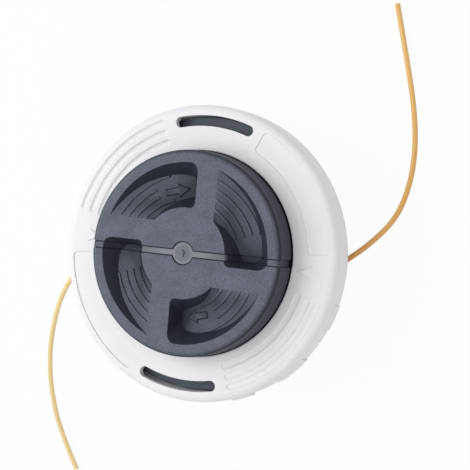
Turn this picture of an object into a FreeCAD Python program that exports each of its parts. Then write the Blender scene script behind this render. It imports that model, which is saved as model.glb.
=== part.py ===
# Bump feed trimmer head with a knob that winds the line.
# Millimetres, +Z up through the spindle axis, the drive side hub face at z = 0 and the
# bump knob on top. X runs through the two line eyelets and along the strip of the knob.
import FreeCAD, Part
import os
import re
from math import hypot, pi, tan

import Sketcher
from FreeCAD import Placement, Rotation, Vector

sizes = {
    # how far a cutting shape runs past the face that it cuts
    "cut_over": 1.0,
    # white cover ring round the knob
    "ring_radius": 65.0,
    "ring_top": 48.0,
    "ring_plate": 3.0,
    "ring_wall": 2.8,
    "ring_split": 35.5,
    "ring_round": 3.5,
    "ring_hole_radius": 44.9,
    "ring_hole_round": 0.5,
    "ring_turn": -3.5,
    "slot_inset": 7.1,
    "slot_width": 4.7,
    "slot_span": 32.2,
    "panel_inner_margin": 6.6,
    "panel_outer_margin": 3.9,
    "panel_depth": 0.35,
    "panel_span": 58.6,
    "panel_centre": -52.3,
    "panel_corner": 2.0,
    "groove_count": 3,
    "groove_inner_margin": 5.6,
    "groove_outer_margin": 5.4,
    "groove_tool": 2.2,
    "groove_depth": 0.6,
    "groove_span": 53.0,
    "groove_centre": -128.6,
    "grip_proud": 0.9,
    "grip_foot": 0.6,
    "grip_height": 4.5,
    "grip_slope": 4.0,
    "grip_centre_1": -105.6,
    "grip_span_1": 10.0,
    "grip_centre_2": -131.1,
    "grip_span_2": 13.0,
    "grip_centre_3": -154.0,
    "grip_span_3": 8.0,
    # white drive side housing
    "hub_radius": 16.0,
    "hub_height": 3.0,
    "floor_thickness": 3.0,
    "bowl_taper": 7.0,
    "bowl_foot_round": 4.0,
    "bowl_waist_inset": 6.0,
    "bowl_waist_height": 26.5,
    "bowl_wall": 3.0,
    "bowl_flare": 4.5,
    "bowl_land": 2.2,
    "bowl_rim_round": 5.0,
    "spigot_wall": 1.4,
    "spigot_height": 2.7,
    "spigot_clearance": 0.1,
    "rib_count": 8,
    "rib_thickness": 2.0,
    "rib_drop": 2.2,
    "rib_sink": 1.0,
    "tower_radius": 10.0,
    "tower_top": 17.5,
    "spindle_hole_radius": 5.2,
    "spindle_hole_top": 15.0,
    # steel drive insert
    "nut_foot": 2.0,
    "nut_length": 10.0,
    "nut_flats": 14.0,
    "thread_minor_radius": 4.46,
    # line eyelets
    "line_level": 25.5,
    "boss_radius": 6.2,
    "boss_length": 4.0,
    "eyelet_radius": 5.2,
    "eyelet_throat": 3.3,
    "eyelet_flange": 6.1,
    "eyelet_lip": 1.2,
    "eyelet_round": 1.8,
    "eyelet_window": 0.3,
    # spool
    "spool_clearance": 0.05,
    "sleeve_radius": 12.2,
    "sleeve_foot": 12.0,
    "spool_foot": 12.5,
    "spring_pocket_radius": 15.2,
    "washer_seat": 20.3,
    "bore_top": 22.8,
    "core_radius": 24.0,
    "core_hollow_radius": 19.0,
    "core_hollow_foot": 30.0,
    "rear_flange": 2.0,
    "rear_flange_gap": 5.0,
    "mid_flange": 5.0,
    "mid_flange_step": 2.0,
    "front_flange": 3.0,
    "front_flange_gap": 0.7,
    "collar_wall": 2.6,
    "collar_height": 4.0,
    "channel_radius": 1.6,
    # index lugs between the spool and the ring
    "lug_count": 12,
    "lug_margin": 4.1,
    "lug_length": 4.5,
    "lug_width": 9.0,
    "lug_ramp": 4.0,
    "lug_height": 3.0,
    "lug_gap": 0.5,
    # spring and thrust washer
    "spring_radius": 13.4,
    "spring_wire": 1.4,
    "spring_turns": 4,
    "washer_thickness": 1.2,
    "washer_clearance": 0.3,
    # stored line
    "line_diameter": 2.4,
    "coil_margin": 4.0,
    "coil_clearance": 0.1,
    "coil_ridge": 0.6,
    # knob
    "knob_rise": 13.2,
    "knob_gap": 0.35,
    "knob_lift": 0.5,
    "knob_flange": 1.6,
    "knob_flange_slope": 6.0,
    "knob_shoulder_inset": 0.3,
    "knob_skirt_inset": 1.05,
    "knob_wall": 2.8,
    "knob_round": 2.4,
    "knob_fit": 0.1,
    "knob_roof_drop": 11.2,
    "knob_hollow_radius": 15.5,
    "knob_hollow_drop": 3.5,
    # finger scoops
    "scoop_count": 4,
    "scoop_rim": 5.45,
    "scoop_inner": 19.5,
    "scoop_depth": 8.0,
    "scoop_start": 13.0,
    "scoop_end": 3.8,
    "scoop_outer_draft": 37.0,
    "scoop_inner_draft": 33.0,
    "scoop_end_draft": 18.0,
    "scoop_outer_corner": 4.6,
    "scoop_inner_corner": 2.5,
    "scoop_over": 3.0,
    # grip ribs on the ramps, the middle ones shorter where an arrow stands
    "grip_rib_count": 4,
    "grip_rib_inner_margin": 4.0,
    "grip_rib_outer_margin": 4.5,
    "grip_rib_width": 0.9,
    "grip_rib_height": 0.6,
    "grip_rib_first": 110.0,
    "grip_rib_short_first": 123.0,
    "grip_rib_last": 160.0,
    # strip across the knob
    "strip_width": 2.4,
    "strip_depth": 0.4,
    "strip_edge": 0.45,
    "strip_edge_depth": 0.8,
    "strip_disc_radius": 4.7,
    "notch_width": 3.4,
    "notch_depth": 0.9,
}

# radii and heights that follow from the sizes above
waist_radius = "(ring_radius - bowl_waist_inset)"
foot_radius = f"({waist_radius} - bowl_taper)"
boss_inner = f"({waist_radius} - boss_length)"
spigot_radius = "(ring_radius - ring_wall - spigot_clearance)"
ring_under = "(ring_top - ring_plate)"
slot_radius = "(ring_radius - slot_inset)"
lug_inner = "(ring_hole_radius + lug_margin)"
spool_top = f"({ring_under} - lug_height - lug_gap)"
front_flange_radius = f"({spigot_radius} - spigot_wall - front_flange_gap)"
rear_flange_radius = f"({foot_radius} - bowl_wall - rear_flange_gap)"
mid_flange_radius = f"({rear_flange_radius} - mid_flange_step)"
coil_radius = f"({mid_flange_radius} - coil_margin)"
knob_top = "(ring_top + knob_rise)"
knob_foot = "(ring_top + knob_lift)"
knob_radius = "(ring_hole_radius - knob_gap)"
knob_shoulder = f"({knob_radius} - knob_shoulder_inset)"
knob_skirt = f"({knob_radius} - knob_skirt_inset)"
knob_cavity = f"({knob_skirt} - knob_wall)"
collar_radius = f"({knob_cavity} - knob_fit)"
scoop_outer = f"({knob_shoulder} - scoop_rim)"
scoop_floor = f"({knob_top} - scoop_depth)"
bowl_floor = "(hub_height + floor_thickness)"

doc = FreeCAD.newDocument("TrimmerHead")
sheet = doc.addObject("Spreadsheet::Sheet", "Sizes")
for row, (alias, value) in enumerate(sizes.items(), start=1):
    sheet.set(f"A{row}", alias)
    sheet.set(f"B{row}", str(value))
    sheet.setAlias(f"B{row}", alias)
doc.recompute()


def size(alias):
    return float(sheet.get(alias))


# an alias always holds an underscore, so a formula can be written in bare aliases
def formula(text):
    return re.sub(r"[a-z]+(_[a-z0-9]+)+", r"Sizes.\g<0>", text)


def bind(thing, **formulas):
    for prop, text in formulas.items():
        thing.setExpression(prop, formula(text))
    return thing


def turned_about(thing, prop, axis, text):
    setattr(thing, prop, Placement(Vector(), Rotation(axis, 1)))
    thing.setExpression(f"{prop}.Rotation.Angle", formula(text))


def new_body(name):
    return doc.addObject("PartDesign::Body", name)


def origin_part(body, role):
    return next(part for part in body.Origin.OriginFeatures if part.Role == role)


# loops are closed outlines of (across, up) formulas, circles are (across, up, radius) and
# axis is two points of a construction line to turn about
def sketch(body, name, loops=(), circles=(), role="XZ_Plane", axis=()):
    made = body.newObject("Sketcher::SketchObject", name)
    made.AttachmentSupport = [(origin_part(body, role), "")]
    made.MapMode = "FlatFace"

    def place(geometry, point, across, up):
        for kind, axis, text in (("DistanceX", -2, across), ("DistanceY", -1, up)):
            if text == "0":
                made.addConstraint(Sketcher.Constraint("PointOnObject", geometry, point, axis))
            else:
                row = made.addConstraint(Sketcher.Constraint(kind, -1, 1, geometry, point, 1.0))
                made.setExpression(f"Constraints[{row}]", formula(text))

    for loop in loops:
        first, count = made.GeometryCount, len(loop)
        for i in range(count):
            made.addGeometry(Part.LineSegment(Vector(i + 1, i % 3 + 1), Vector(i + 2, (i + 1) % 3 + 1)))
        for i in range(count):
            made.addConstraint(Sketcher.Constraint("Coincident", first + i, 2, first + (i + 1) % count, 1))
        for i, (across, up) in enumerate(loop):
            place(first + i, 1, across, up)
    for across, up, radius in circles:
        ring = made.addGeometry(Part.Circle(Vector(1, 1), Vector(0, 0, 1), 1))
        place(ring, 3, across, up)
        row = made.addConstraint(Sketcher.Constraint("Radius", ring, 1.0))
        made.setExpression(f"Constraints[{row}]", formula(radius))
    if axis:
        line = made.addGeometry(Part.LineSegment(Vector(1, 1), Vector(2, 3)), True)
        for point, (across, up) in enumerate(axis, start=1):
            place(line, point, across, up)
    return made


def box_loop(left, right, low, high):
    return [(left, low), (right, low), (right, high), (left, high)]


# a part turn lies evenly on both sides of the sketch
def turn(body, name, profile, angle="360", cut=False, axis="V_Axis"):
    made = body.newObject("PartDesign::Groove" if cut else "PartDesign::Revolution", name)
    made.Profile = profile
    made.ReferenceAxis = (profile, [axis])
    made.Midplane = angle != "360"
    bind(made, Angle=angle)
    body.Tip = made
    return made


def pad(body, name, profile, length, cut=False):
    made = body.newObject("PartDesign::Pocket" if cut else "PartDesign::Pad", name)
    made.Profile = profile
    bind(made, Length=length)
    body.Tip = made
    return made


def around(body, name, features, count):
    made = body.newObject("PartDesign::PolarPattern", name)
    made.Originals = features
    made.Axis = (origin_part(body, "Z_Axis"), [""])
    made.Angle = 360
    bind(made, Occurrences=count)
    body.Tip = made
    return made


# the circular edges that one corner of a turned outline makes
def rims(feature, profile, outline, corner):
    doc.recompute()
    at = profile.Geometry[outline.index(corner)].StartPoint
    return [
        f"Edge{i}"
        for i, edge in enumerate(feature.Shape.Edges, start=1)
        if isinstance(edge.Curve, Part.Circle)
        and abs(edge.Curve.Radius - at.x) < 1e-4
        and abs(edge.Curve.Center.z - at.y) < 1e-4
    ]


def soften(body, name, feature, edges, radius):
    made = body.newObject("PartDesign::Fillet", name)
    made.Base = (feature, edges)
    bind(made, Radius=radius)
    body.Tip = made
    return made


def part(kind, name, **formulas):
    return bind(doc.addObject(kind, name), **formulas)


def boolean(kind, name, base, tool):
    made = doc.addObject(kind, name)
    made.Base, made.Tool = base, tool
    return made


def lug_loop(foot, tip):
    return [
        ("-lug_width / 2", foot),
        ("lug_width / 2", foot),
        ("lug_width / 2", tip),
        ("lug_ramp - lug_width / 2", tip),
    ]


# ramped index lugs, standing on a flange or hanging from the ring plate
def add_lugs(body, name, foot, tip, angle):
    profile = sketch(body, f"{name}Profile", [lug_loop(foot, tip)], role="YZ_Plane")
    turned_about(profile, "AttachmentOffset", Vector(0, 1, 0), angle)
    bind(profile, **{"AttachmentOffset.Base.x": f"{lug_inner} * sin({angle})"})
    bind(profile, **{"AttachmentOffset.Base.z": f"{lug_inner} * cos({angle})"})
    lug = pad(body, f"{name}Pad", profile, "lug_length")
    around(body, f"{name}s", [lug], "lug_count")


def front_ring():
    body = new_body("FrontRing")
    inner = "ring_radius - ring_wall"
    outline = [
        ("ring_hole_radius", ring_under),
        (inner, ring_under),
        (inner, "ring_split"),
        ("ring_radius", "ring_split"),
        ("ring_radius", "ring_top"),
        ("ring_hole_radius", "ring_top"),
    ]
    profile = sketch(body, "RingProfile", [outline])
    shell = turn(body, "RingShell", profile)
    edge = rims(shell, profile, outline, ("ring_radius", "ring_top"))
    shell = soften(body, "RingRound", shell, edge, "ring_round")
    edge = rims(shell, profile, outline, ("ring_hole_radius", "ring_top"))
    soften(body, "RingHoleRound", shell, edge, "ring_hole_round")

    def sector(name, loops, circles, centre, span, cut):
        profile = sketch(body, f"{name}Profile", loops, circles)
        turned_about(profile, "AttachmentOffset", Vector(0, 1, 0), centre)
        return turn(body, name, profile, span, cut)

    low, high = f"{slot_radius} - slot_width / 2", f"{slot_radius} + slot_width / 2"
    through = box_loop(low, high, f"{ring_under} - cut_over", "ring_top + cut_over")
    cuts = [sector("Slot", [through], (), "0", "slot_span", True)]
    end_x, end_y = f"{slot_radius} * cos(slot_span / 2)", f"{slot_radius} * sin(slot_span / 2)"
    ends = [(end_x, f"{sign}{end_y}", "slot_width / 2") for sign in ("", "-")]
    profile = sketch(body, "SlotEndProfile", circles=ends, role="XY_Plane")
    bind(profile, **{"AttachmentOffset.Base.z": "ring_top + cut_over"})
    cuts.append(pad(body, "SlotEnds", profile, "ring_plate + 2 * cut_over", cut=True))
    panel = box_loop(
        "ring_hole_radius + panel_inner_margin",
        "ring_radius - panel_outer_margin",
        "ring_top - panel_depth",
        "ring_top + cut_over",
    )
    cuts.append(sector("Panel", [panel], (), "panel_centre", "panel_span", True))

    grip_top = "ring_split + grip_foot + grip_height"
    grip = [
        ("ring_radius - ring_wall / 2", "ring_split + grip_foot"),
        ("ring_radius + grip_proud", "ring_split + grip_foot"),
        ("ring_radius + grip_proud", grip_top),
        ("ring_radius - ring_wall / 2", f"{grip_top} + grip_slope"),
    ]
    for i in (1, 2, 3):
        cuts.append(sector(f"Grip{i}", [grip], (), f"grip_centre_{i}", f"grip_span_{i}", False))
    pattern = around(body, "RingPattern", cuts, "2")
    doc.recompute()
    corners = [
        f"Edge{i}"
        for i, edge in enumerate(pattern.Shape.Edges, start=1)
        if abs(edge.Length - size("panel_depth")) < 1e-4
        and abs(edge.BoundBox.ZLength - size("panel_depth")) < 1e-4
    ]
    # a corner takes at most a third of the panel's width
    limit = "(ring_radius - panel_outer_margin - ring_hole_radius - panel_inner_margin) / 3"
    soften(body, "PanelCorners", pattern, corners, f"min(panel_corner; {limit})")

    # finger grooves, each a round channel that runs out in a ball at both ends
    first, last = "(ring_hole_radius + groove_inner_margin)", "(ring_radius - groove_outer_margin)"
    level = "ring_top + groove_tool - groove_depth"
    for i in range(int(size("groove_count"))):
        radius = f"({first} + {i} * ({last} - {first}) / (groove_count - 1))"
        channel = [(radius, level, "groove_tool")]
        cuts = [sector(f"Groove{i + 1}", (), channel, "groove_centre", "groove_span", True)]
        around(body, f"Groove{i + 1}Pair", cuts, "2")
        balls = []
        for side, sign in (("Start", "-"), ("End", "+")):
            angle = f"(groove_centre {sign} groove_span / 2)"
            ball = body.newObject("PartDesign::SubtractiveSphere", f"Groove{i + 1}{side}")
            bind(ball, Radius="groove_tool")
            bind(ball, **{"Placement.Base.x": f"{radius} * cos({angle})"})
            bind(ball, **{"Placement.Base.y": f"{radius} * sin({angle})"})
            balls.append(bind(ball, **{"Placement.Base.z": level}))
        around(body, f"Groove{i + 1}Ends", balls, "2")
    add_lugs(body, "RingLug", ring_under, f"{ring_under} - lug_height", "180 / lug_count - ring_turn - 90")
    turned_about(body, "Placement", Vector(0, 0, 1), "ring_turn + 90")
    return body


def rear_housing():
    body = new_body("RearHousing")
    waist = "bowl_waist_height"
    rim, foot = ("ring_radius", "ring_split - bowl_land"), (foot_radius, "hub_height")
    outline = [
        ("0", "tower_top"),
        ("tower_radius", "tower_top"),
        ("tower_radius", bowl_floor),
        (f"{foot_radius} - bowl_wall", bowl_floor),
        (f"{waist_radius} - bowl_wall", waist),
        (f"{spigot_radius} - spigot_wall", f"{waist} + bowl_flare"),
        (f"{spigot_radius} - spigot_wall", "ring_split + spigot_height"),
        (spigot_radius, "ring_split + spigot_height"),
        (spigot_radius, "ring_split"),
        ("ring_radius", "ring_split"),
        rim,
        (waist_radius, waist),
        foot,
        ("hub_radius", "hub_height"),
        ("hub_radius", "0"),
        ("spindle_hole_radius", "0"),
        ("spindle_hole_radius", "spindle_hole_top"),
        ("0", "spindle_hole_top"),
    ]
    profile = sketch(body, "BowlProfile", [outline])
    shell = turn(body, "BowlShell", profile)
    shell = soften(body, "BowlFootRound", shell, rims(shell, profile, outline, foot), "bowl_foot_round")
    soften(body, "BowlRimRound", shell, rims(shell, profile, outline, rim), "bowl_rim_round")
    rib = box_loop(
        "hub_radius - rib_sink",
        f"{foot_radius} - bowl_foot_round",
        "hub_height - rib_drop",
        "hub_height + rib_sink",
    )
    web = pad(body, "Rib", sketch(body, "RibProfile", [rib]), "rib_thickness")
    web.Midplane = True
    around(body, "Ribs", [web], "rib_count")

    def across_wall(name, radius, start, length, cut):
        profile = sketch(body, f"{name}Profile", circles=[("0", "line_level", radius)], role="YZ_Plane")
        bind(profile, **{"AttachmentOffset.Base.z": start})
        around(body, f"{name}s", [pad(body, name, profile, length, cut)], "2")

    across_wall("Boss", "boss_radius", boss_inner, "boss_length", False)
    across_wall("EyeletHole", "eyelet_radius", waist_radius, "boss_length", True)
    window = "eyelet_flange + eyelet_window"
    across_wall("EyeletWindow", window, "ring_radius", "bowl_waist_inset", True)
    socket = part("Part::Prism", "NutSocket", Circumradius="nut_flats / sqrt(3)", Height="nut_length")
    bind(socket, **{"Placement.Base.z": "nut_foot"})
    return boolean("Part::Cut", "Housing", body, socket)


def drive_nut():
    blank = part("Part::Prism", "NutBlank", Circumradius="nut_flats / sqrt(3)", Height="nut_length")
    bore = part("Part::Cylinder", "NutBore", Radius="thread_minor_radius", Height="nut_length")
    for piece in (blank, bore):
        bind(piece, **{"Placement.Base.z": "nut_foot"})
    return boolean("Part::Cut", "Nut", blank, bore)


# turned about its own Z, then laid along X through the wall of the housing
def line_eyelet(name, direction):
    body = new_body(name)
    back, front = ("eyelet_throat", boss_inner), ("eyelet_throat", f"{waist_radius} + eyelet_lip")
    outline = [
        back,
        ("eyelet_radius", boss_inner),
        ("eyelet_radius", waist_radius),
        ("eyelet_flange", waist_radius),
        ("eyelet_flange", f"{waist_radius} + eyelet_lip"),
        front,
    ]
    profile = sketch(body, f"{name}Profile", [outline])
    tube = turn(body, f"{name}Tube", profile)
    ends = rims(tube, profile, outline, back) + rims(tube, profile, outline, front)
    soften(body, f"{name}Round", tube, ends, "eyelet_round")
    body.Placement = Placement(Vector(), Rotation(Vector(0, 0, 1), Vector(direction, 0, 0)))
    bind(body, **{"Placement.Base.z": "line_level"})
    return body


def spool():
    body = new_body("Spool")
    bore = "tower_radius + spool_clearance"
    low, high = "line_level - mid_flange / 2", "line_level + mid_flange / 2"
    outline = [
        (bore, "bore_top"),
        (bore, "sleeve_foot"),
        ("sleeve_radius", "sleeve_foot"),
        ("sleeve_radius", "washer_seat"),
        ("spring_pocket_radius", "washer_seat"),
        ("spring_pocket_radius", "spool_foot"),
        (rear_flange_radius, "spool_foot"),
        (rear_flange_radius, "spool_foot + rear_flange"),
        ("core_radius", "spool_foot + rear_flange"),
        ("core_radius", low),
        (mid_flange_radius, low),
        (mid_flange_radius, high),
        ("core_radius", high),
        ("core_radius", f"{spool_top} - front_flange"),
        (front_flange_radius, f"{spool_top} - front_flange"),
        (front_flange_radius, spool_top),
        (collar_radius, spool_top),
        (collar_radius, f"{spool_top} + collar_height"),
        (f"{collar_radius} - collar_wall", f"{spool_top} + collar_height"),
        (f"{collar_radius} - collar_wall", spool_top),
        ("core_hollow_radius", spool_top),
        ("core_hollow_radius", "core_hollow_foot"),
        ("0", "core_hollow_foot"),
        ("0", "bore_top"),
    ]
    turn(body, "SpoolTurn", sketch(body, "SpoolProfile", [outline]))
    add_lugs(body, "SpoolLug", spool_top, f"{spool_top} + lug_height", "0")
    channel = [("0", "line_level", "channel_radius")]
    profile = sketch(body, "ChannelProfile", circles=channel, role="YZ_Plane")
    cut = pad(body, "Channel", profile, f"2 * ({mid_flange_radius} + cut_over)", cut=True)
    cut.Midplane = True
    return body


# each turn is two half circles, turned about axes that lean one way and then the other, so
# that the second ends one pitch above the start of the first
def bump_spring():
    body = new_body("BumpSpring")
    wire_foot = f"({bowl_floor} + spring_wire / 2)"
    pitch = f"((washer_seat - washer_thickness - spring_wire - {bowl_floor}) / spring_turns)"
    halves = []
    for name, side, step in (("SpringRise", "", 0), ("SpringReturn", "-", 0.5)):
        start = f"{wire_foot} + {step} * {pitch}"
        centre = f"{start} + {pitch} / 4"
        wire = [(f"{side}spring_radius", start, "spring_wire / 2")]
        lean = [("0", centre), (f"{side}{pitch} / 4", f"{centre} + spring_radius")]
        profile = sketch(body, f"{name}Wire", circles=wire, axis=lean)
        halves.append(turn(body, name, profile, "180", axis="Axis0"))
        halves[-1].Midplane = False
    coil = body.newObject("PartDesign::LinearPattern", "SpringCoil")
    coil.Originals = halves
    coil.Direction = (origin_part(body, "Z_Axis"), [""])
    bind(coil, Length=f"{pitch} * (spring_turns - 1)", Occurrences="spring_turns")
    body.Tip = coil
    return body


def thrust_washer():
    body = new_body("ThrustWasher")
    outline = box_loop(
        "sleeve_radius + washer_clearance",
        "spring_pocket_radius - washer_clearance",
        "washer_seat - washer_thickness",
        "washer_seat",
    )
    turn(body, "WasherTurn", sketch(body, "WasherProfile", [outline]))
    return body


# the stored line is one solid in each chamber, ridged by its outer layer of turns
def wound_line(name, foot, top):
    body = new_body(name)
    low, high = f"{foot} + coil_clearance", f"{top} - coil_clearance"
    step = f"(({high}) - ({low})) / 6"
    outline = [("core_radius + coil_clearance", high), ("core_radius + coil_clearance", low)]
    for i in range(7):
        radius = f"{coil_radius} - coil_ridge" if i % 2 == 0 else coil_radius
        outline.append((radius, f"{low} + {i} * {step}"))
    turn(body, f"{name}Turn", sketch(body, f"{name}Profile", [outline]))
    return body


def knob_blank():
    body = new_body("KnobBlank")
    shoulder = (knob_shoulder, knob_top)
    outline = [
        ("0", spool_top),
        (knob_skirt, spool_top),
        (knob_skirt, knob_foot),
        (knob_radius, knob_foot),
        (knob_radius, f"{knob_foot} + knob_flange"),
        (knob_shoulder, f"{knob_foot} + knob_flange + knob_flange_slope"),
        shoulder,
        ("0", knob_top),
    ]
    profile = sketch(body, "KnobProfile", [outline])
    shell = turn(body, "KnobTurn", profile)
    soften(body, "KnobRound", shell, rims(shell, profile, outline, shoulder), "knob_round")
    return body


# one finger scoop: a ring with sloping walls, kept only above a ramp that runs from a line
# on the top face down to the foot of the end wall
def scoop():
    ring = new_body("ScoopRing")
    foot, top = f"{scoop_floor} - cut_over", f"{knob_top} + scoop_over"
    outline = [
        ("scoop_inner - scoop_over * tan(scoop_inner_draft)", top),
        ("scoop_inner + (scoop_depth + cut_over) * tan(scoop_inner_draft)", foot),
        (f"{scoop_outer} - (scoop_depth + cut_over) * tan(scoop_outer_draft)", foot),
        (f"{scoop_outer} + scoop_over * tan(scoop_outer_draft)", top),
    ]
    turn(ring, "ScoopTurn", sketch(ring, "ScoopProfile", [outline]))
    foot_x = "scoop_end - scoop_depth * tan(scoop_end_draft)"
    far = f"1.5 * {scoop_outer}"
    near_start, near_end = "-0.2 * scoop_inner", "0.73 * scoop_inner"
    start = part("Part::Line", "ScoopStart", X1=f"-{far}", Y1="scoop_start", Z1=knob_top)
    bind(start, X2=near_start, Y2="scoop_start", Z2=knob_top)
    end = part("Part::Line", "ScoopEnd", X1=foot_x, Y1=far, Z1=scoop_floor)
    bind(end, X2=foot_x, Y2=near_end, Z2=scoop_floor)
    floor = doc.addObject("Part::RuledSurface", "ScoopFloor")
    floor.Curve1, floor.Curve2 = (start, [""]), (end, [""])
    rise = "(scoop_depth + scoop_over) / cos(scoop_end_draft)"
    ramp = part("Part::Extrusion", "ScoopRamp", LengthFwd=rise)
    ramp.Base, ramp.DirMode, ramp.Solid = floor, "Custom", True
    bind(ramp, **{"Dir.x": "sin(scoop_end_draft)", "Dir.y": "0", "Dir.z": "cos(scoop_end_draft)"})
    sharp = boolean("Part::Common", "ScoopSharp", ring, ramp)
    doc.recompute()
    reach = [hypot(vertex.X, vertex.Y) for vertex in sharp.Shape.Vertexes]
    middle = (min(reach) + max(reach)) / 2
    made = doc.addObject("Part::Fillet", "Scoop")
    made.Base = sharp
    corners = []
    for i, edge in enumerate(sharp.Shape.Edges, start=1):
        ends = [vertex.Point for vertex in edge.Vertexes]
        if abs(ends[0].z - ends[1].z) > size("scoop_depth") and max(p.x for p in ends) > 0:
            outer = min(hypot(p.x, p.y) for p in ends) > middle
            radius = size("scoop_outer_corner" if outer else "scoop_inner_corner")
            corners.append((i, radius, radius))
    made.Edges = corners
    return made


def copy_at(name, source, turned=0, **shift):
    made = doc.addObject("App::Link", name)
    made.LinkedObject = source
    made.LinkPlacement = Placement(Vector(), Rotation(Vector(0, 0, 1), turned))
    return bind(made, **{f"LinkPlacement.Base.{axis}": text for axis, text in shift.items()})


# ribs stand on the ramp floor: the layer between the scoop and the scoop raised by the
# rib height, kept only in narrow rings
def ribbed_scoop(name, plain, layer, first_by_row):
    body = new_body(f"{name}Rings")
    inner, outer = "(scoop_inner + grip_rib_inner_margin)", f"({scoop_outer} - grip_rib_outer_margin)"
    for first in sorted(set(first_by_row)):
        rings = []
        for row in (i for i, begins in enumerate(first_by_row) if begins == first):
            middle = f"({inner} + {row} * ({outer} - {inner}) / (grip_rib_count - 1))"
            left, right = f"{middle} - grip_rib_width / 2", f"{middle} + grip_rib_width / 2"
            rings.append(box_loop(left, right, f"{scoop_floor} - cut_over", f"{knob_top} + cut_over"))
        profile = sketch(body, f"{name}{len(rings)}{first}Profile", rings)
        turned_about(profile, "AttachmentOffset", Vector(0, 1, 0), f"({first} + grip_rib_last) / 2")
        turn(body, f"{name}{first}Turn", profile, f"grip_rib_last - {first}")
    ribs = boolean("Part::Common", f"{name}Ribs", layer, body)
    return boolean("Part::Cut", name, plain, ribs)


def bump_knob():
    blank = knob_blank()
    plain = scoop()
    layer = boolean("Part::Cut", "ScoopLayer", plain, copy_at("ScoopRaised", plain, z="grip_rib_height"))
    long_rows = ["grip_rib_first"] * int(size("grip_rib_count"))
    arrow_rows = long_rows[:1] + ["grip_rib_short_first"] * (len(long_rows) - 2) + long_rows[-1:]
    tools = [
        ribbed_scoop("ArrowScoop", plain, layer, arrow_rows),
        ribbed_scoop("PlainScoop", plain, layer, long_rows),
    ]
    count = int(size("scoop_count"))
    scoops = doc.addObject("Part::Compound", "Scoops")
    scoops.Links = [copy_at(f"Scoop{i + 1}", tools[i % 2], 360 * i / count) for i in range(count)]
    scooped = boolean("Part::Cut", "ScoopedKnob", blank, scoops)

    def block(name, start, width, length, foot="0"):
        made = part("Part::Box", name, Length=length, Width=width, Height=f"{knob_top} - ({foot})")
        bind(made, **{"Placement.Base.x": start, "Placement.Base.y": f"-({width}) / 2"})
        return bind(made, **{"Placement.Base.z": foot})

    def strip_plan(name, width, radius):
        band = block(f"{name}Band", f"-{knob_radius}", width, f"2 * {knob_radius}")
        disc = part("Part::Cylinder", f"{name}Disc", Radius=radius, Height=knob_top)
        return boolean("Part::Fuse", f"{name}Plan", band, disc)

    # the strip sinks into whatever surface it crosses, with a deeper line along each edge
    def sunk(name, depth):
        wide = strip_plan(name, "strip_width + 2 * strip_edge", "strip_disc_radius + strip_edge")
        return boolean("Part::Cut", name, wide, copy_at(f"{name}Floor", scooped, z=f"-{depth}"))

    strip, deep = sunk("Strip", "strip_depth"), sunk("StripDeep", "strip_edge_depth")
    middle = strip_plan("StripMiddle", "strip_width", "strip_disc_radius")
    edges = boolean("Part::Cut", "StripEdges", deep, middle)
    cavity = new_body("KnobCavity")
    roof, hollow = f"{knob_top} - knob_roof_drop", f"{knob_top} - knob_hollow_drop"
    outline = [
        ("0", spool_top),
        (knob_cavity, spool_top),
        (knob_cavity, roof),
        ("knob_hollow_radius", roof),
        ("knob_hollow_radius", hollow),
        ("0", hollow),
    ]
    turn(cavity, "CavityTurn", sketch(cavity, "CavityProfile", [outline]))
    notches = {"NotchRight": f"{knob_radius} - notch_depth", "NotchLeft": f"-{knob_radius}"}
    made = scooped
    cutters = [strip, edges, cavity]
    cutters += [block(name, at, "notch_width", "notch_depth", knob_foot) for name, at in notches.items()]
    for i, cutter in enumerate(cutters, start=1):
        made = boolean("Part::Cut", f"KnobStep{i}", made, cutter)
    return made


# a cord is straight runs joined by arcs as large as the runs allow
def cord(name, points):
    points = [Vector(*point) for point in points]
    edges, radii, at = [], [], points[0]
    for before, corner, after in zip(points, points[1:], points[2:]):
        back, ahead = before - corner, after - corner
        half_turn = (pi - back.getAngle(ahead)) / 2
        reach = 0.45 * min(back.Length, ahead.Length)
        radii.append(reach / tan(half_turn))
        back.normalize()
        ahead.normalize()
        enter, leave = corner + back * reach, corner + ahead * reach
        bisector = (back + ahead).normalize()
        to_centre = hypot(reach, radii[-1])
        middle = corner + bisector * (to_centre - radii[-1])
        edges.append(Part.LineSegment(at, enter).toShape())
        edges.append(Part.Arc(enter, middle, leave).toShape())
        at = leave
    edges.append(Part.LineSegment(at, points[-1]).toShape())
    path = Part.Wire(edges)
    radius = size("line_diameter") / 2
    section = Part.Wire(Part.Circle(points[0], points[1] - points[0], radius).toShape())
    made = doc.addObject("Part::Feature", name)
    made.Shape = path.makePipeShell([section], True, False)
    made.Placement = Placement()
    ideal = pi * radius**2 * path.Length
    print(name, "length", round(path.Length, 1), "radii", [round(r, 1) for r in radii])
    print(name, "volume", round(made.Shape.Volume, 1), "of", round(ideal, 1))
    return made


tail_a = [
    (27.5, -28.3, 30.2),
    (34.2, -22.0, 30.1),
    (41.2, -15.3, 29.6),
    (49.4, -7.6, 27.2),
    (57.6, 0.0, 25.5),
    (70.4, 10.2, 24.8),
    (80.9, 22.7, 22.5),
    (84.5, 37.3, 18.6),
    (84.4, 53.1, 14.0),
    (81.0, 70.6, 9.0),
    (75.3, 89.4, 4.4),
    (70.7, 104.2, 1.9),
    (66.6, 118.8, 1.3),
]
tail_b = [
    (-27.5, 28.3, 16.4),
    (-34.2, 22.0, 16.5),
    (-41.5, 15.0, 17.2),
    (-48.9, 8.1, 23.4),
    (-57.6, 0.0, 25.7),
    (-70.5, -12.9, 25.2),
    (-79.8, -27.6, 23.8),
    (-85.1, -43.8, 20.4),
    (-88.9, -60.0, 15.0),
    (-89.9, -77.0, 9.0),
    (-86.4, -97.5, 3.3),
    (-75.8, -116.2, 1.3),
]

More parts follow.
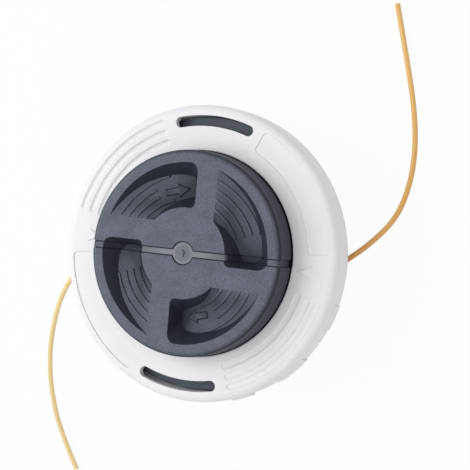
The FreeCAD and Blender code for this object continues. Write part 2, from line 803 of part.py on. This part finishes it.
chamber_foot = "spool_foot + rear_flange"
chamber_split = "line_level - mid_flange / 2"
upper_foot = "line_level + mid_flange / 2"
upper_top = f"{spool_top} - front_flange"
pieces = {
    "rear_housing": rear_housing(),
    "front_ring": front_ring(),
    "drive_nut": drive_nut(),
    "line_eyelet_a": line_eyelet("EyeletA", 1),
    "line_eyelet_b": line_eyelet("EyeletB", -1),
    "bump_spring": bump_spring(),
    "thrust_washer": thrust_washer(),
    "spool": spool(),
    "wound_line_upper": wound_line("UpperLine", upper_foot, upper_top),
    "wound_line_lower": wound_line("LowerLine", chamber_foot, chamber_split),
    "bump_knob": bump_knob(),
    "line_tail_a": cord("TailA", tail_a),
    "line_tail_b": cord("TailB", tail_b),
}
doc.recompute()

for thing in doc.Objects:
    faults = {"Invalid", "Error"} & set(thing.State)
    if faults:
        raise RuntimeError(f"{thing.Name}: {thing.State}")
for label, piece in pieces.items():
    piece.Label = label
    if piece.Shape.isNull() or not piece.Shape.isValid() or not piece.Shape.Solids:
        raise RuntimeError(f"{label} has no valid solid")

os.makedirs("parts", exist_ok=True)
for label, piece in pieces.items():
    piece.Shape.exportStep(f"parts/{label}.step")
    print(label, len(piece.Shape.Solids), "solid", round(piece.Shape.Volume / 1000, 2), "cm3")
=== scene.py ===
# Bump feed trimmer head: the line tails, threaded nut, spring, moulded signs, finishes and studio
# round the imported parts
from math import cos, radians, sin

import bpy
from mathutils import Matrix, Vector


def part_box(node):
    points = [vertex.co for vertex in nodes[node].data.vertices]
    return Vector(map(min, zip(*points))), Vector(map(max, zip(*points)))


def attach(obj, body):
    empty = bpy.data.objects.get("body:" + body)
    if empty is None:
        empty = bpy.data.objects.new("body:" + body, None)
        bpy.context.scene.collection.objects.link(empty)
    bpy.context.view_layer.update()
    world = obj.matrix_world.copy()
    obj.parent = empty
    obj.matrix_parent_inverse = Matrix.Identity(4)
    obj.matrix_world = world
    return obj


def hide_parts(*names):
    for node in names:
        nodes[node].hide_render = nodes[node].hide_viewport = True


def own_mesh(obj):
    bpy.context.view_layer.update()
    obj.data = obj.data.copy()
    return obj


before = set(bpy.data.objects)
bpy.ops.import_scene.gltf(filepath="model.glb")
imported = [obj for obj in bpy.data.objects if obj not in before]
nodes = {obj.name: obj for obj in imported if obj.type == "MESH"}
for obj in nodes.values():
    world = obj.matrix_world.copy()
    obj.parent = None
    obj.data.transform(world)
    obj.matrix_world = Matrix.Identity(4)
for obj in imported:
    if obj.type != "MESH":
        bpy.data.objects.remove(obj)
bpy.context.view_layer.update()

mm = 0.001
weld = 0.001 * mm  # points closer than this are one point
print("frame loaded:", len(nodes), "nodes")


def polar(radius, degrees):
    return Vector((radius * cos(radians(degrees)), radius * sin(radians(degrees)), 0))


# camera at the photograph's angle: tilted from the spindle axis towards the right hand eyelet
view = {
    "tilt": 24.7,
    "turn": 5.7,
    "distance": 500 * mm,
    "pivot": (0, 0, 46 * mm),
    "aim": (17 * mm, 9.6 * mm, 46 * mm),
    "lens": 87.6,
    "sensor": 36,
    "clipStart": 10 * mm,
}


def addCamera():
    tilt, turn = radians(view["tilt"]), radians(view["turn"])
    side, ahead = Vector((cos(turn), sin(turn), 0)), Vector((-sin(turn), cos(turn), 0))
    lean = sin(tilt) * side + cos(tilt) * Vector((0, 0, 1))
    eye = Vector(view["pivot"]) + view["distance"] * lean
    back = (eye - Vector(view["aim"])).normalized()
    across = ahead.cross(back).normalized()
    axes = Matrix((across, back.cross(across), back)).transposed()
    bpy.ops.object.camera_add(location=eye, rotation=axes.to_euler())
    camera = bpy.context.object
    camera.name = "photoCamera"
    camera.data.lens = view["lens"]
    camera.data.sensor_width = view["sensor"]
    camera.data.clip_start = view["clipStart"]
    bpy.context.scene.camera = camera


# node helper: an input given as a socket is linked, any other value is set
def addNode(tree, kind, inputs=None, **settings):
    made = tree.nodes.new(kind)
    for key, value in settings.items():
        setattr(made, key, value)
    for key, value in (inputs or {}).items():
        if isinstance(value, bpy.types.NodeSocket):
            tree.links.new(value, made.inputs[key])
        else:
            made.inputs[key].default_value = value
    return made


def startFinish(name, **sockets):
    made = bpy.data.materials.new(name)
    made.use_nodes = True
    tree = made.node_tree
    shader = tree.nodes["Principled BSDF"]
    for key, value in sockets.items():
        shader.inputs[key.replace("_", " ")].default_value = value
    place = addNode(tree, "ShaderNodeTexCoord")
    return made, tree, shader, place


noiseRoughness = 0.55
noiseSpan = (0.3, 0.7)  # most of a noise lies in here


def noise(tree, place, scale, detail):
    inputs = {"Vector": place, "Scale": scale, "Detail": detail, "Roughness": noiseRoughness}
    return addNode(tree, "ShaderNodeTexNoise", inputs).outputs["Fac"]


def spread(tree, value, low, high, span=noiseSpan):
    inputs = {"From Min": span[0], "From Max": span[1], "To Min": low, "To Max": high}
    return addNode(tree, "ShaderNodeMapRange", {"Value": value, **inputs}).outputs["Result"]


# a mix node's colours are its inputs 6 and 7 and its output 2
def mixColours(tree, factor, low, high):
    made = addNode(tree, "ShaderNodeMix", {0: factor}, data_type="RGBA")
    for socket, value in ((made.inputs[6], low), (made.inputs[7], high)):
        if isinstance(value, bpy.types.NodeSocket):
            tree.links.new(value, socket)
        else:
            socket.default_value = (*value, 1)
    return made.outputs[2]


# one colour at the start of a value's span, the other at its end
def fadeColours(tree, value, low, high, span=noiseSpan):
    return mixColours(tree, spread(tree, value, 0, 1, span), low, high)


def sums(tree, operation, first, second=0.0):
    return addNode(tree, "ShaderNodeMath", {0: first, 1: second}, operation=operation).outputs[0]


edgeSamples = 6


# grain on top of edges that are broken by a small radius
def addBump(tree, shader, height, look):
    edge = addNode(tree, "ShaderNodeBevel", {"Radius": look["edge"]}, samples=edgeSamples)
    inputs = {"Height": height, "Strength": look["bump"], "Distance": look["bumpDepth"]}
    bump = addNode(tree, "ShaderNodeBump", {**inputs, "Normal": edge.outputs["Normal"]})
    tree.links.new(bump.outputs["Normal"], shader.inputs["Normal"])


# white moulded nylon of the ring and the drive side housing; a noise is its scale and detail
whiteLook = {
    "ior": 1.5,
    "pale": (0.878, 0.87, 0.897),
    "cool": (0.842, 0.84, 0.868),
    "mottle": (45, 4),
    "grain": (1500, 2),
    "roughness": (0.42, 0.55),
    "bump": 0.12,
    "bumpDepth": 0.15 * mm,
    "edge": 0.35 * mm,
}


def whiteNylon():
    look = whiteLook
    made, tree, shader, place = startFinish("whiteNylon", IOR=look["ior"])
    here = place.outputs["Object"]
    mottle, grain = noise(tree, here, *look["mottle"]), noise(tree, here, *look["grain"])
    colour = fadeColours(tree, mottle, look["pale"], look["cool"])
    tree.links.new(colour, shader.inputs["Base Color"])
    tree.links.new(spread(tree, grain, *look["roughness"]), shader.inputs["Roughness"])
    addBump(tree, shader, grain, look)
    return made


# spark eroded dark nylon with painted shade by facing: flat faces are matt and palest, ramps
# painted darker, drawn walls painted darkest
darkLook = {
    "ior": 1.5,
    "specular": 0.35,
    "face": (0.152, 0.166, 0.214),
    "speck": (0.05, 0.056, 0.08),
    # painted shade tones: ramps darker than the face, sloping walls darkest, upright sides a little
    # lighter than the walls
    "ramp": (0.043, 0.0485, 0.071),
    "rampSpeck": (0.017, 0.02, 0.034),
    "wall": (0.014, 0.0165, 0.031),
    "side": (0.03, 0.033, 0.052),
    "strip": (0.19, 0.197, 0.232),
    "stripFar": (0.1, 0.108, 0.135),
    "discDark": (0.125, 0.135, 0.165),
    # facing spans over which the painted shade tones blend
    "sideShadeTilt": (0.12, 0.3),
    "wallTilt": (0.8, 0.93),
    "rampTilt": (0.965, 0.998),
    # depth over which a sinking ramp's painted shade comes in
    "rampFade": 2.6 * mm,
    # facing span and radius past which the knob's rounded shoulder takes painted shade
    "roundShadeTilt": (0.6, 0.985),
    "roundShadeFrom": 41.5 * mm,
    "grain": (1900, 2),
    "mottle": (130, 3),
    "grainShare": 0.7,
    "dots": (0.31, 0.69),
    "roughness": (0.5, 0.68),
    "stripRoughness": 0.36,
    "bump": 0.3,
    "bumpDepth": 0.2 * mm,
    "edge": 0.4 * mm,
}
# the strip across the knob and its disc, with a painted shade line along each edge
knobStrip = {
    "halfWidth": 1.2 * mm,
    "reach": 21 * mm,
    "disc": 4.7 * mm,
    # width of the painted shade line beside the strip and the disc
    "edge": 0.45 * mm,
    "depth": 1.5 * mm,
    "discRim": (3.2 * mm, 4.0 * mm),
    "fade": (9 * mm, 19 * mm),
}


def stripMasks(tree, parts, top):
    x, y = sums(tree, "ABSOLUTE", parts["X"]), sums(tree, "ABSOLUTE", parts["Y"])
    squares = sums(tree, "ADD", sums(tree, "MULTIPLY", x, x), sums(tree, "MULTIPLY", y, y))
    away = sums(tree, "SQRT", squares)
    high = sums(tree, "GREATER_THAN", parts["Z"], top - knobStrip["depth"])
    plans = []
    for margin in (0, knobStrip["edge"]):
        narrow = sums(tree, "LESS_THAN", y, knobStrip["halfWidth"] + margin)
        disc = sums(tree, "LESS_THAN", away, knobStrip["disc"] + margin)
        plans.append(sums(tree, "MULTIPLY", sums(tree, "MAXIMUM", narrow, disc), high))
    # the band along the strip's edges that takes painted shade
    edges = sums(tree, "SUBTRACT", plans[1], plans[0])
    strip = sums(tree, "MULTIPLY", plans[0], sums(tree, "LESS_THAN", x, knobStrip["reach"]))
    return strip, edges, away


def darkNylon(name, isKnob):
    look = darkLook
    made, tree, shader, place = startFinish(
        name, IOR=look["ior"], Specular_IOR_Level=look["specular"]
    )
    here = place.outputs["Object"]
    normal = addNode(tree, "ShaderNodeSeparateXYZ", {"Vector": place.outputs["Normal"]}).outputs
    facing = normal["Z"]
    grain, mottle = noise(tree, here, *look["grain"]), noise(tree, here, *look["mottle"])
    fine = sums(tree, "MULTIPLY", grain, look["grainShare"])
    coarse = sums(tree, "MULTIPLY", mottle, 1 - look["grainShare"])
    dots = spread(tree, sums(tree, "ADD", fine, coarse), 0, 1, look["dots"])
    face = mixColours(tree, dots, look["speck"], look["face"])
    ramp = mixColours(tree, dots, look["rampSpeck"], look["ramp"])
    if isKnob:
        # painted shade: a ramp starts in the tone of the face and darkens as it sinks
        parts = addNode(tree, "ShaderNodeSeparateXYZ", {"Vector": here}).outputs
        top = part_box("bump_knob")[1].z
        ramp = fadeColours(tree, parts["Z"], ramp, face, (top - look["rampFade"], top))
    # painted shade by facing: steep walls and sides take the dark tones, ramps a darker tone, flat
    # faces their own
    steepShade = fadeColours(tree, facing, look["side"], look["wall"], look["sideShadeTilt"])
    colour = fadeColours(tree, facing, steepShade, ramp, look["wallTilt"])
    colour = fadeColours(tree, facing, colour, face, look["rampTilt"])
    rough, height = spread(tree, grain, *look["roughness"]), grain
    if isKnob:
        strip, edges, away = stripMasks(tree, parts, top)
        # painted shade on the knob's rounded shoulder, darker as it turns away from the face
        shadedRound = fadeColours(tree, facing, steepShade, face, look["roundShadeTilt"])
        outside = sums(tree, "GREATER_THAN", away, look["roundShadeFrom"])
        colour = mixColours(tree, outside, colour, shadedRound)
        band = fadeColours(tree, away, look["strip"], look["stripFar"], knobStrip["fade"])
        band = fadeColours(tree, away, look["discDark"], band, knobStrip["discRim"])
        # painted shade along the strip's edges, in the dark side tone
        colour = mixColours(tree, edges, colour, look["side"])
        colour = mixColours(tree, strip, colour, band)
        # the strip is smooth, so it takes no grain
        keep = sums(tree, "SUBTRACT", 1.0, strip)
        height = sums(tree, "MULTIPLY", grain, keep)
        smooth = sums(tree, "MULTIPLY", strip, look["stripRoughness"])
        rough = sums(tree, "ADD", sums(tree, "MULTIPLY", rough, keep), smooth)
    tree.links.new(colour, shader.inputs["Base Color"])
    tree.links.new(rough, shader.inputs["Roughness"])
    addBump(tree, shader, height, look)
    return made


# torn nylon of the gate
gateLook = {
    "dark": (0.02, 0.022, 0.032),
    "torn": (0.06, 0.064, 0.08),
    "tear": (2400, 2),
    "roughness": 0.6,
}


def gateNylon():
    made, tree, shader, place = startFinish("gateNylon", Roughness=gateLook["roughness"])
    tear = noise(tree, place.outputs["Object"], *gateLook["tear"])
    colour = fadeColours(tree, tear, gateLook["dark"], gateLook["torn"])
    tree.links.new(colour, shader.inputs["Base Color"])
    return made


# extruded line: orange where it leaves the head, yellower towards its end, paler on the left
lineLook = {
    "ior": 1.53,
    "scatterWeight": 0.25,
    "scatterScale": 1.2 * mm,
    "scatterRadius": (1, 0.45, 0.15),
    "near": (0.68, 0.33, 0.075),
    "far": (0.83, 0.52, 0.165),
    "paleLeft": (0.85, 0.66, 0.32),
    "fade": (60 * mm, 115 * mm),
    "paleLeftSpan": (-72 * mm, -56 * mm),
    "streak": (700, 3),
    "uneven": 0.18,
    "roughness": (0.28, 0.42),
    "bump": 0.1,
    "bumpDepth": 0.1 * mm,
    "edge": 0.2 * mm,
}


def lineNylon():
    look = lineLook
    made, tree, shader, place = startFinish(
        "lineNylon",
        IOR=look["ior"],
        Subsurface_Weight=look["scatterWeight"],
        Subsurface_Scale=look["scatterScale"],
        Subsurface_Radius=look["scatterRadius"],
    )
    here = place.outputs["Object"]
    flat = {0: here, 1: (1, 1, 0)}
    level = addNode(tree, "ShaderNodeVectorMath", flat, operation="MULTIPLY").outputs[0]
    reach = addNode(tree, "ShaderNodeVectorMath", {0: level}, operation="LENGTH").outputs["Value"]
    streak = noise(tree, here, *look["streak"])
    along = spread(tree, reach, 0, 1, look["fade"])
    wander = spread(tree, streak, -look["uneven"], look["uneven"])
    colour = mixColours(tree, sums(tree, "ADD", along, wander), look["near"], look["far"])
    across = addNode(tree, "ShaderNodeSeparateXYZ", {"Vector": here}).outputs["X"]
    colour = fadeColours(tree, across, look["paleLeft"], colour, look["paleLeftSpan"])
    tree.links.new(colour, shader.inputs["Base Color"])
    tree.links.new(spread(tree, streak, *look["roughness"]), shader.inputs["Roughness"])
    addBump(tree, shader, streak, look)
    return made


# zinc plated and drawn steel
steelLook = {
    "zincSteel": {"light": (0.78, 0.78, 0.77), "dull": (0.6, 0.6, 0.61), "roughness": (0.22, 0.4)},
    "springSteel": {"light": (0.5, 0.5, 0.52), "dull": (0.34, 0.34, 0.36), "roughness": (0.3, 0.5)},
}
steelGrain = {
    "blotch": (260, 4),
    "scratch": (2600, 2),
    "bump": 0.06,
    "bumpDepth": 0.05 * mm,
    "edge": 0.3 * mm,
}


def steel(name):
    look = steelLook[name]
    made, tree, shader, place = startFinish(name, Metallic=1.0)
    here = place.outputs["Object"]
    blotch = noise(tree, here, *steelGrain["blotch"])
    scratch = noise(tree, here, *steelGrain["scratch"])
    colour = fadeColours(tree, blotch, look["dull"], look["light"])
    tree.links.new(colour, shader.inputs["Base Color"])
    tree.links.new(spread(tree, scratch, *look["roughness"]), shader.inputs["Roughness"])
    addBump(tree, shader, scratch, steelGrain)
    return made


def dress(piece, finish):
    piece.data.materials.clear()
    piece.data.materials.append(finish)


# the two line tails, in mm, from the wound coil through the eyelet to the floor
tails = {
    "lineTailA": {
        "node": "line_tail_a",
        "length": 175.6 * mm,
        "route": [
            (27.5, -28.3, 30.2),
            (34.2, -22.0, 30.1),
            (41.2, -15.3, 29.6),
            (49.4, -7.6, 27.2),
            (57.6, 0.0, 25.5),
            (70.4, 10.2, 24.8),
            (80.9, 22.7, 22.5),
            (84.5, 37.3, 18.6),
            (84.4, 53.1, 14.0),
            (81.0, 70.6, 9.0),
            (75.3, 89.4, 4.4),
            (70.7, 104.2, 1.9),
            (66.6, 118.8, 1.3),
        ],
    },
    "lineTailB": {
        "node": "line_tail_b",
        "length": 174.2 * mm,
        "route": [
            (-27.5, 28.3, 16.4),
            (-34.2, 22.0, 16.5),
            (-41.5, 15.0, 17.2),
            (-48.9, 8.1, 23.4),
            (-57.6, 0.0, 25.7),
            (-70.5, -12.9, 25.2),
            (-79.8, -27.6, 23.8),
            (-85.1, -43.8, 20.4),
            (-88.9, -60.0, 15.0),
            (-89.9, -77.0, 9.0),
            (-86.4, -97.5, 3.3),
            (-75.8, -116.2, 1.3),
        ],
    },
}
lineDiameter = 2.4 * mm
lineMesh = {"rounding": 5, "steps": 16, "order": 3}


def layTail(name, facts, finish):
    curve = bpy.data.curves.new(name, "CURVE")
    curve.dimensions = "3D"
    curve.bevel_depth = lineDiameter / 2
    curve.bevel_resolution = lineMesh["rounding"]
    curve.use_fill_caps = True
    curve.resolution_u = lineMesh["steps"]
    spline = curve.splines.new("NURBS")
    spline.points.add(len(facts["route"]) - 1)
    for point, place in zip(spline.points, facts["route"]):
        point.co = (*(Vector(place) * mm), 1)
    spline.order_u = lineMesh["order"]
    spline.use_endpoint_u = True
    tail = bpy.data.objects.new(name, curve)
    bpy.context.scene.collection.objects.link(tail)
    curve.materials.append(finish)
    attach(tail, "housing")
    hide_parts(facts["node"])


def deselectAll():
    if bpy.context.object and bpy.context.object.mode != "OBJECT":
        bpy.ops.object.mode_set(mode="OBJECT")
    bpy.ops.object.select_all(action="DESELECT")


# a flat sign with sloping sides: its outline is raised by an inset, then its foot is closed
def raiseSign(name, outline, facts):
    sink = facts["sink"]
    deselectAll()
    bpy.ops.mesh.primitive_circle_add(vertices=len(outline), radius=mm, fill_type="NGON")
    sign = bpy.context.object
    sign.name = name
    for vertex, (x, y) in zip(sign.data.vertices, outline):
        vertex.co = (x, y, 0)
    bpy.ops.object.mode_set(mode="EDIT")
    bpy.ops.mesh.select_all(action="SELECT")
    bpy.ops.mesh.normals_make_consistent(inside=False)
    bpy.ops.mesh.extrude_region_move(TRANSFORM_OT_translate={"value": (0, 0, sink)})
    bpy.ops.mesh.inset(thickness=facts["slope"], depth=facts["rise"])
    bpy.ops.mesh.select_all(action="DESELECT")
    bpy.ops.mesh.select_non_manifold()
    bpy.ops.mesh.edge_face_add()
    bpy.ops.mesh.select_all(action="SELECT")
    bpy.ops.transform.translate(value=(0, 0, -sink))
    bpy.ops.mesh.quads_convert_to_tris()
    bpy.ops.mesh.normals_make_consistent(inside=False)
    bpy.ops.object.mode_set(mode="OBJECT")
    return sign


# turns and moves a sign to its place, then drops each of its points onto the surface below
def seatSign(sign, place, degrees, carrier):
    sign.data.transform(Matrix.Translation(place) @ Matrix.Rotation(radians(degrees), 4, "Z"))
    bpy.context.view_layer.update()
    for vertex in sign.data.vertices:
        above = Vector((vertex.co.x, vertex.co.y, 2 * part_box(carrier)[1].z))
        found, hit, _, _ = nodes[carrier].ray_cast(above, Vector((0, 0, -1)))
        if found:
            vertex.co.z += hit.z


def copySign(sign, name):
    deselectAll()
    sign.select_set(True)
    bpy.context.view_layer.objects.active = sign
    bpy.ops.object.duplicate()
    made = bpy.context.object
    made.name = name
    return made


# one sign is raised, copied evenly round the axis, and each copy is seated
def stampSigns(name, facts, outline, carrier, finish):
    signs = [raiseSign(f"{name}1", outline, facts)]
    signs += [copySign(signs[0], f"{name}{i + 1}") for i in range(1, facts["count"])]
    for i, sign in enumerate(signs):
        angle = facts["angle"] + 360 * i / facts["count"]
        seatSign(sign, polar(facts["radius"], angle), angle + facts["turn"], carrier)
        dress(sign, finish)
    return signs


# drive nut in the hub's hexagon socket, with its left hand thread
nut = {
    "foot": 2 * mm,
    "length": 10 * mm,
    "flats": 14 * mm,
    "minor": 4.46 * mm,
    "major": 5.0 * mm,
    "pitch": 1.0 * mm,
    "crest": 0.125,  # share of the pitch
    "sides": 6,
    "outside": 6 * mm,  # farther from the axis there is only the hexagon
    "steps": 48,
    "spareTurns": 1.5,
    "trim": 0.0001 * mm,
    "smooth": 30,
}


# selects the edges that lie at one of the heights
def selectRims(piece, heights, closest=0.0):
    points = piece.data.vertices
    bpy.ops.mesh.select_mode(type="EDGE")
    bpy.ops.mesh.select_all(action="DESELECT")
    bpy.ops.object.mode_set(mode="OBJECT")
    for edge in piece.data.edges:
        ends = [points[i].co for i in edge.vertices]
        level = any(all(abs(end.z - height) < weld for end in ends) for height in heights)
        edge.select = level and min(end.to_2d().length for end in ends) > closest
    bpy.ops.object.mode_set(mode="EDIT")


def addNut(finish):
    pitch, deep = nut["pitch"], nut["major"] - nut["minor"]
    foot, top = nut["foot"], nut["foot"] + nut["length"]
    crest, flank = nut["crest"] * pitch, (0.5 - nut["crest"]) * pitch
    deselectAll()
    # one pitch of the thread is drawn from a point, then screwed up the bore and trimmed
    bpy.ops.mesh.primitive_plane_add(size=mm)
    made = bpy.context.object
    made.name = "driveNut"
    bpy.ops.object.mode_set(mode="EDIT")
    bpy.ops.mesh.select_all(action="SELECT")
    bpy.ops.mesh.merge(type="CENTER")
    bpy.ops.transform.translate(value=(nut["minor"], 0, foot - nut["spareTurns"] * pitch))
    for step in ((0, 0, crest), (deep, 0, flank), (0, 0, crest), (-deep, 0, flank)):
        bpy.ops.mesh.extrude_region_move(TRANSFORM_OT_translate={"value": step})
    bpy.ops.object.mode_set(mode="OBJECT")
    screw = made.modifiers.new("threadTurns", "SCREW")
    screw.angle, screw.screw_offset = radians(-360), pitch
    screw.iterations = round(nut["length"] / pitch + 2 * nut["spareTurns"])
    screw.steps = screw.render_steps = nut["steps"]
    bpy.ops.object.modifier_apply(modifier=screw.name)
    bpy.ops.object.mode_set(mode="EDIT")
    bpy.ops.mesh.select_all(action="SELECT")
    bpy.ops.mesh.remove_doubles(threshold=weld)
    for height, below in ((foot, True), (top, False)):
        bpy.ops.mesh.select_all(action="SELECT")
        bpy.ops.mesh.bisect(
            plane_co=(0, 0, height),
            plane_no=(0, 0, 1),
            clear_inner=below,
            clear_outer=not below,
            threshold=nut["trim"],
        )
    for height in (foot, top):
        bpy.ops.mesh.primitive_circle_add(
            vertices=nut["sides"],
            radius=nut["flats"] / 2 / cos(radians(180 / nut["sides"])),
            location=(0, 0, height),
            rotation=(0, 0, radians(90)),
        )
        selectRims(made, [height])
        bpy.ops.mesh.fill()
    selectRims(made, [foot, top], nut["outside"])
    bpy.ops.mesh.bridge_edge_loops()
    bpy.ops.mesh.select_all(action="SELECT")
    bpy.ops.mesh.normals_make_consistent(inside=False)
    bpy.ops.object.mode_set(mode="OBJECT")
    bpy.ops.object.shade_smooth_by_angle(angle=radians(nut["smooth"]))
    dress(made, finish)
    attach(made, "housing")
    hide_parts("drive_nut")


# bump spring: a wire ring screwed up from the housing floor; the real spring shortens as the knob
# is bumped, here it keeps its rest length
spring = {
    "radius": 13.4 * mm,
    "wire": 1.4 * mm,
    "turns": 4,
    "steps": 64,
    "sides": 16,
    "stroke": 4.5 * mm,
    "smooth": 40,
}


def addSpring(finish):
    low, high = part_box("bump_spring")
    tall = high.z - low.z
    deselectAll()
    bpy.ops.mesh.primitive_circle_add(
        vertices=spring["sides"],
        radius=spring["wire"] / 2,
        location=(spring["radius"], 0, low.z + spring["wire"] / 2),
        rotation=(radians(90), 0, 0),
    )
    made = bpy.context.object
    made.name = "bumpSpring"
    bpy.ops.object.transform_apply()
    coil = made.modifiers.new("springTurns", "SCREW")
    coil.screw_offset = (tall - spring["wire"]) / spring["turns"]
    coil.iterations = spring["turns"]
    coil.steps = coil.render_steps = spring["steps"]
    bpy.ops.object.modifier_apply(modifier=coil.name)
    bpy.ops.object.mode_set(mode="EDIT")
    bpy.ops.mesh.select_all(action="SELECT")
    bpy.ops.mesh.remove_doubles(threshold=weld)
    bpy.ops.mesh.fill_holes(sides=spring["sides"])
    bpy.ops.mesh.normals_make_consistent(inside=False)
    bpy.ops.object.mode_set(mode="OBJECT")
    bpy.ops.object.shade_smooth_by_angle(angle=radians(spring["smooth"]))
    dress(made, finish)
    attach(made, "housing")
    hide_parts("bump_spring")
    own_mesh(made)


# direction arrows on the ramps of two opposite scoops
arrow = {
    "count": 2,
    "radius": 27.3 * mm,
    "angle": 105,
    "turn": -90,  # it points along the scoop
    "shaft": (5.6 * mm, 3.2 * mm),
    "head": (5.4 * mm, 6.6 * mm),
    "rise": 0.55 * mm,
    "slope": 0.45 * mm,
    "sink": 0.3 * mm,
}


def addArrows(finish):
    (shaft, thin), (head, wide) = arrow["shaft"], arrow["head"]
    back, neck, tip = -(shaft + head) / 2, (shaft - head) / 2, (shaft + head) / 2
    outline = [
        (back, -thin / 2),
        (neck, -thin / 2),
        (neck, -wide / 2),
        (tip, 0),
        (neck, wide / 2),
        (neck, thin / 2),
        (back, thin / 2),
    ]
    for sign in stampSigns("directionArrow", arrow, outline, "bump_knob", finish):
        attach(sign, "spool")


# snapped moulding gate in the middle of the knob's disc
gate = {
    "outline": [(-0.2, -1.6), (0.4, -1.5), (0.95, 0.4), (0.3, 1.6), (-0.6, 1.3), (0.15, 0.3)],
    "rise": 0.25 * mm,
    "slope": 0.05 * mm,
    "sink": 0.2 * mm,
}


def addGate(finish):
    outline = [(x * mm, y * mm) for x, y in gate["outline"]]
    mark = raiseSign("gateMark", outline, gate)
    seatSign(mark, Vector(), 0, "bump_knob")
    dress(mark, finish)
    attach(mark, "spool")


# alignment chevrons on the ring, pointing at the knob
chevron = {
    "count": 2,
    "angle": -3.5,
    "turn": 0,
    "radius": 47.6 * mm,
    "reach": 6.4 * mm,
    "halfWidth": 3.2 * mm,
    "line": 1.0 * mm,
    "inner": 2.2 * mm,  # from the point of the chevron to its inner corner
    "rise": 0.4 * mm,
    "slope": 0.2 * mm,
    "sink": 0.2 * mm,
}


def addChevrons(finish):
    reach, half, line = chevron["reach"], chevron["halfWidth"], chevron["line"]
    outline = [
        (0, 0),
        (reach, -half),
        (reach, -half + line),
        (chevron["inner"], 0),
        (reach, half - line),
        (reach, half),
    ]
    for sign in stampSigns("ringChevron", chevron, outline, "front_ring", finish):
        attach(sign, "housing")


# pale floor and soft light; the floor and the room show white, and light the object less
studio = {
    "white": (1, 1, 1, 1),
    "whiteStrength": 1.0,
    "floorSize": 6.0,
    "floorColour": (0.9, 0.9, 0.9),
    "floorGap": 0.1 * mm,
    "floorShow": 0.93,
    "ambient": 0.56,
    "lamps": {
        "leftKey": {"place": (-0.42, 0.05, 0.5), "size": 0.5, "watts": 1.6},
        "overhead": {"place": (-0.2, 0, 1.3), "size": 1.2, "watts": 3.2},
        "rightFill": {"place": (0.55, -0.4, 0.3), "size": 0.7, "watts": 0.45},
    },
    "target": (0, 0, 0.04),
}


def seenRays(tree):
    path = addNode(tree, "ShaderNodeLightPath").outputs
    seen = sums(tree, "MAXIMUM", path["Is Camera Ray"], path["Is Glossy Ray"])
    return sums(tree, "MAXIMUM", seen, path["Is Transmission Ray"])


def floorFinish():
    made = bpy.data.materials.new("paleFloor")
    made.use_nodes = True
    tree = made.node_tree
    tree.nodes.clear()
    white = {"Color": studio["white"], "Strength": studio["whiteStrength"]}
    matt = addNode(tree, "ShaderNodeBsdfDiffuse", {"Color": (*studio["floorColour"], 1)})
    bright = addNode(tree, "ShaderNodeEmission", white)
    clear = addNode(tree, "ShaderNodeBsdfTransparent")
    under = addNode(tree, "ShaderNodeNewGeometry").outputs["Backfacing"]
    show = sums(tree, "MULTIPLY", seenRays(tree), studio["floorShow"])
    lit = addNode(tree, "ShaderNodeMixShader", {0: show, 1: matt.outputs[0], 2: bright.outputs[0]})
    both = addNode(tree, "ShaderNodeMixShader", {0: under, 1: lit.outputs[0], 2: clear.outputs[0]})
    addNode(tree, "ShaderNodeOutputMaterial", {"Surface": both.outputs[0]})
    return made


def addStudio():
    deselectAll()
    bpy.ops.mesh.primitive_plane_add(size=studio["floorSize"], location=(0, 0, -studio["floorGap"]))
    floor = bpy.context.object
    floor.name = "studioFloor"
    dress(floor, floorFinish())
    for name, lamp in studio["lamps"].items():
        aim = Vector(studio["target"]) - Vector(lamp["place"])
        turn = aim.to_track_quat("-Z", "Y").to_euler()
        bpy.ops.object.light_add(type="AREA", location=lamp["place"], rotation=turn)
        made = bpy.context.object
        made.name = name
        made.data.size = lamp["size"]
        made.data.energy = lamp["watts"]
    world = bpy.data.worlds.new("paleRoom")
    bpy.context.scene.world = world
    world.use_nodes = True
    tree = world.node_tree
    tree.nodes.clear()
    lights = {"Color": studio["white"], "Strength": studio["ambient"]}
    shows = {"Color": studio["white"], "Strength": studio["whiteStrength"]}
    room = addNode(tree, "ShaderNodeBackground", lights).outputs[0]
    white = addNode(tree, "ShaderNodeBackground", shows).outputs[0]
    mixed = addNode(tree, "ShaderNodeMixShader", {0: seenRays(tree), 1: room, 2: white})
    addNode(tree, "ShaderNodeOutputWorld", {"Surface": mixed.outputs[0]})
    bpy.context.scene.view_settings.view_transform = "Standard"


addCamera()
print("camera placed")

finishes = {
    "white": whiteNylon(),
    "dark": darkNylon("darkNylon", False),
    "knob": darkNylon("knobNylon", True),
    "gate": gateNylon(),
    "line": lineNylon(),
    "zinc": steel("zincSteel"),
    "spring": steel("springSteel"),
}
nodeFinish = {
    "rear_housing": "white",
    "front_ring": "white",
    "line_eyelet_a": "zinc",
    "line_eyelet_b": "zinc",
    "thrust_washer": "zinc",
    "spool": "dark",
    "bump_knob": "knob",
    "wound_line_upper": "line",
    "wound_line_lower": "line",
}
for node, finish in nodeFinish.items():
    dress(nodes[node], finishes[finish])
print("finishes on", len(nodeFinish), "nodes")

for name, facts in tails.items():
    layTail(name, facts, finishes["line"])
print("line tails laid")

addNut(finishes["zinc"])
print("drive nut threaded")

addSpring(finishes["spring"])
print("bump spring wound")

addArrows(finishes["dark"])
addGate(finishes["gate"])
addChevrons(finishes["white"])
print("signs raised")

addStudio()
print("studio lit")
